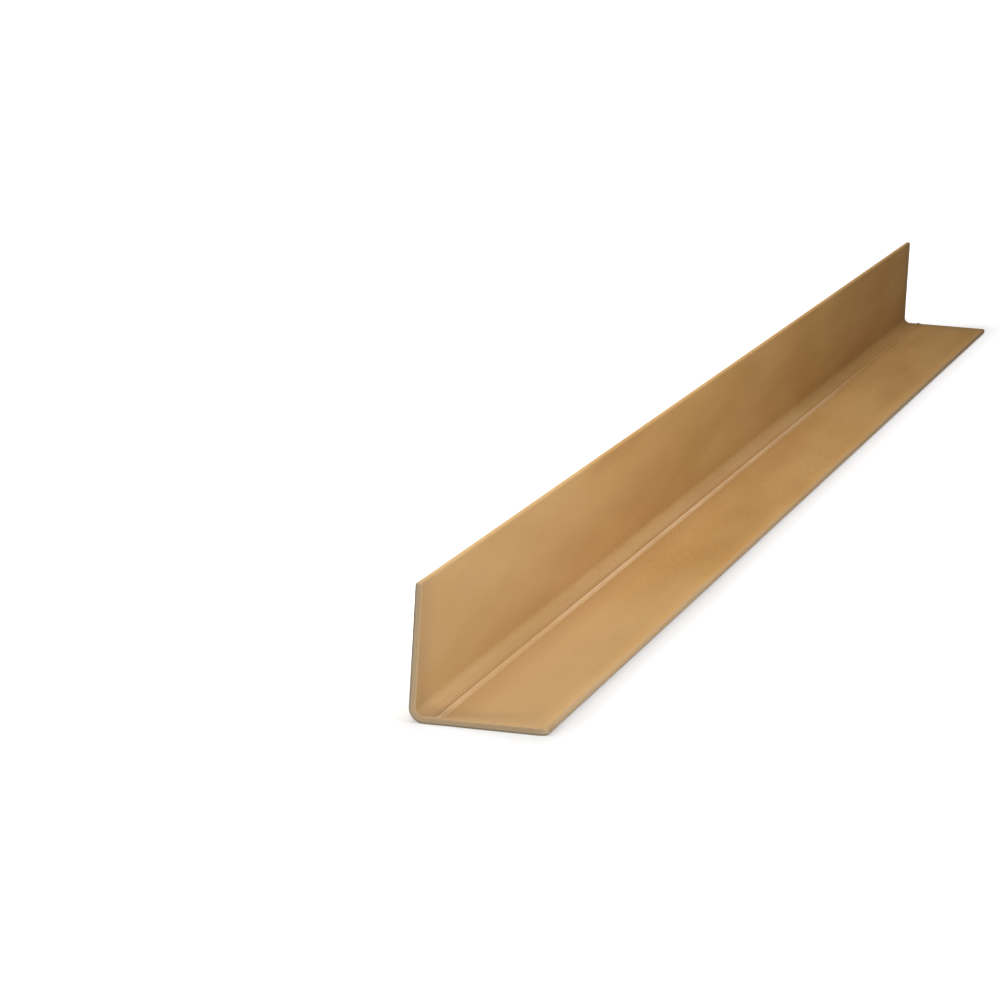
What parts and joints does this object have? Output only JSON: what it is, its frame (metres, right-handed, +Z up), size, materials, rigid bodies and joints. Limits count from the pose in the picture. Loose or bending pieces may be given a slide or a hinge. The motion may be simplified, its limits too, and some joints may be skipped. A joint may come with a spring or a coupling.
{
  "type": "pallet edge protector",
  "caption": "Long straight angle of laminated kraft paperboard with equal legs, set over the edge of a palletised load to spread strap pressure and stiffen its corner.",
  "frame": {"origin": "centre of the board's length and of its flat leg's width, on the base face", "axes": "+X along the length, +Y towards the back face of the upright leg, +Z up from the base face"},
  "size_m": [1.2, 0.05, 0.05],
  "materials": {
    "kraft_board": "matt kraft liner with a faint fibre mottle, greyer at the cut ends"
  },
  "bodies": {
    "root": {"angle_board": "kraft_board"}
  },
  "joints": []
}
